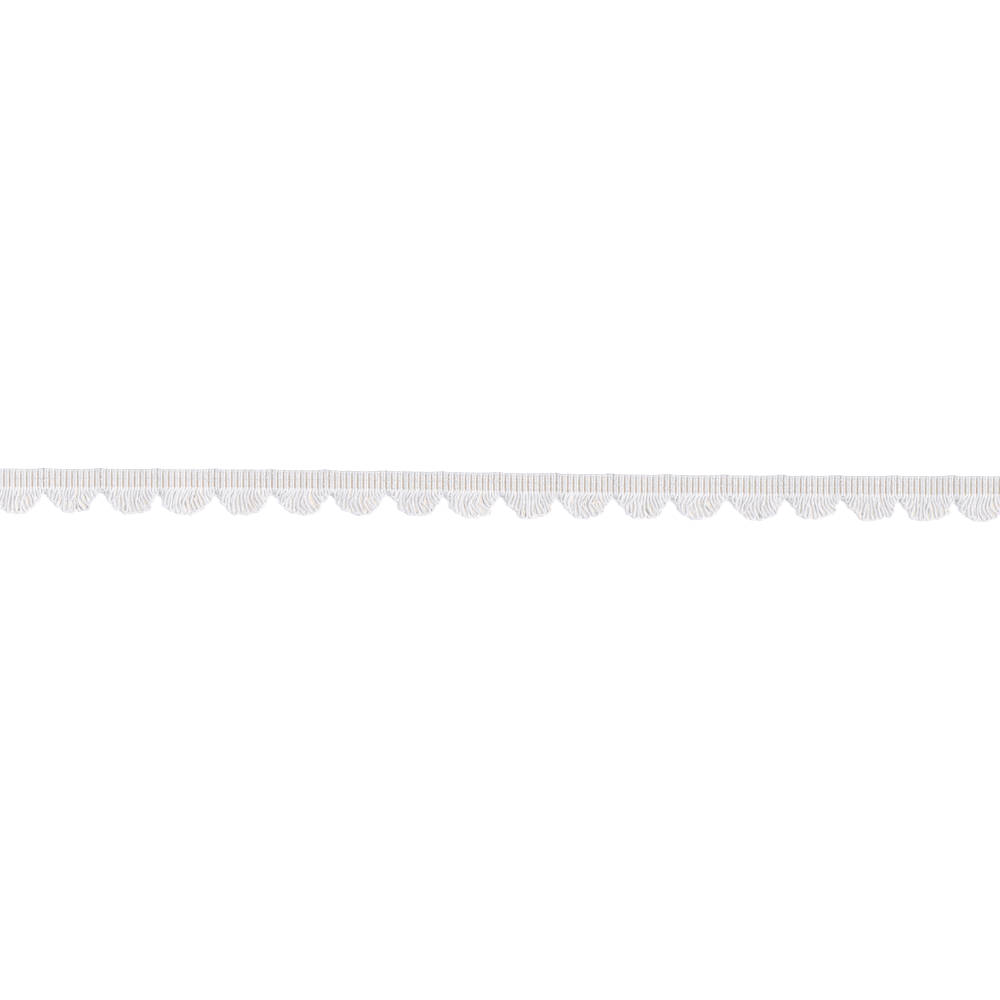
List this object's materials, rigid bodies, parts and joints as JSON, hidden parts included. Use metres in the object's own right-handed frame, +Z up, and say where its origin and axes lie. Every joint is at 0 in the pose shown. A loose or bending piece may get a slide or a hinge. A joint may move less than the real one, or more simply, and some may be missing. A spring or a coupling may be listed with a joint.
{
  "type": "fan edge trim",
  "caption": "Flat cut length of woven cotton trim: a ribbed heading along one edge and a skirt of uncut yarn loops graded into rounded fans.",
  "frame": {"origin": "middle of the trim's footprint, on the surface that it lies on", "axes": "+X along the trim, +Y across it from the fans to the heading, +Z up through its thickness"},
  "size_m": [0.531, 0.0278, 0.0019],
  "materials": {
    "heading_cotton": "ribbed weave of white cotton yarn on an ecru ground, matte",
    "fringe_cotton": "soft plied white cotton yarn in uncut loops, matte"
  },
  "bodies": {
    "root": {"heading": "heading_cotton", "fan_01": "fringe_cotton", "fan_02": "fringe_cotton", "fan_03": "fringe_cotton", "fan_04": "fringe_cotton", "fan_05": "fringe_cotton", "fan_06": "fringe_cotton", "fan_07": "fringe_cotton", "fan_08": "fringe_cotton", "fan_09": "fringe_cotton", "fan_10": "fringe_cotton", "fan_11": "fringe_cotton", "fan_12": "fringe_cotton", "fan_13": "fringe_cotton", "fan_14": "fringe_cotton", "fan_15": "fringe_cotton", "fan_16": "fringe_cotton", "fan_17": "fringe_cotton", "fan_18": "fringe_cotton"}
  },
  "joints": []
}
